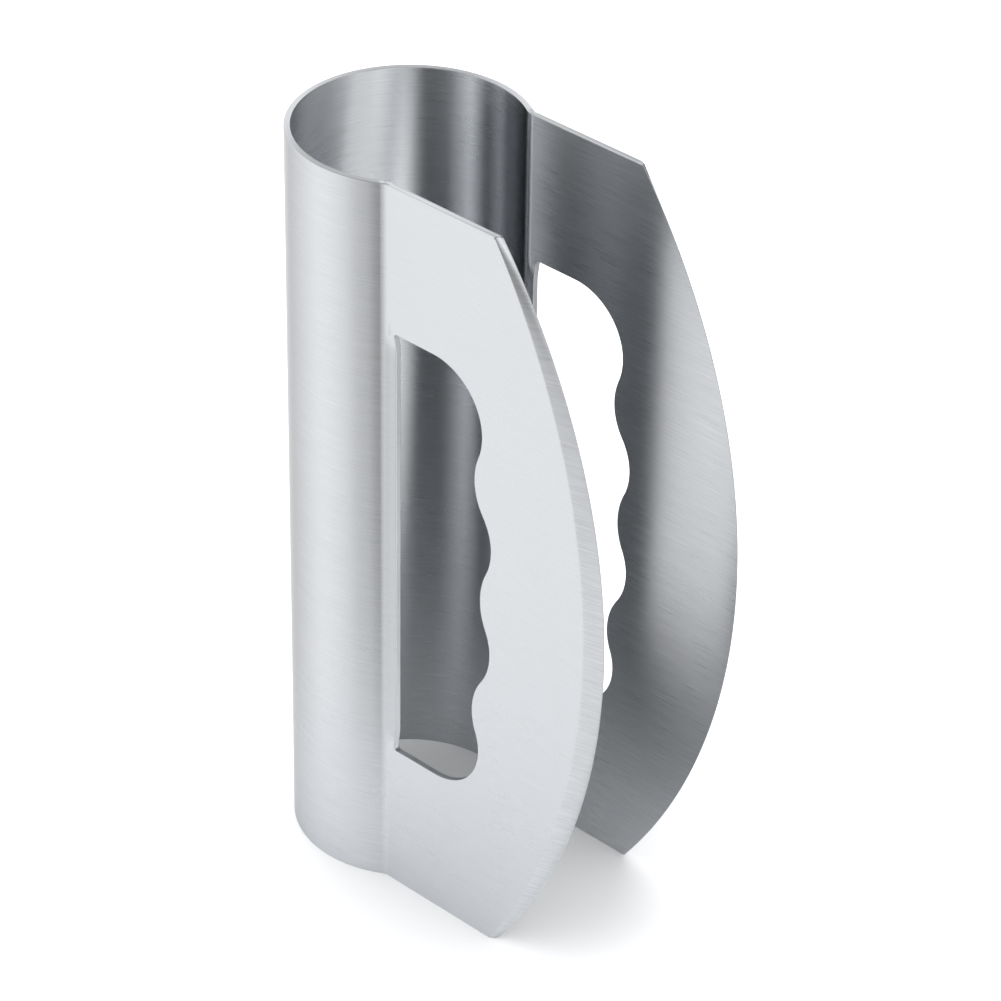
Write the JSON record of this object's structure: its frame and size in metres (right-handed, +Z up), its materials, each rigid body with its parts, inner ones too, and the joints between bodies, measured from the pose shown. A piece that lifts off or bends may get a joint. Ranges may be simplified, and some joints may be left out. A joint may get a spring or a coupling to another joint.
{
  "type": "double-blade chopper",
  "caption": "Hand chopper bent from one brushed steel sheet: a rolled tube grip with parallel curved blades, scalloped finger windows and one-sided ground edges.",
  "frame": {"origin": "middle of the part's outline, on the plane of the lower ends of the tube and blades", "axes": "+Z up along the tube, +X from the tube towards the cutting edges, +Y across the blades from the front one to the rear one"},
  "size_m": [0.0874, 0.0446, 0.15],
  "materials": {
    "brushed_sheet": "brushed across the tube and the blades, bevels ground crosswise"
  },
  "bodies": {
    "root": {"grip_tube": "brushed_sheet", "front_neck": "brushed_sheet", "rear_neck": "brushed_sheet", "front_blade": "brushed_sheet", "rear_blade": "brushed_sheet"}
  },
  "joints": []
}
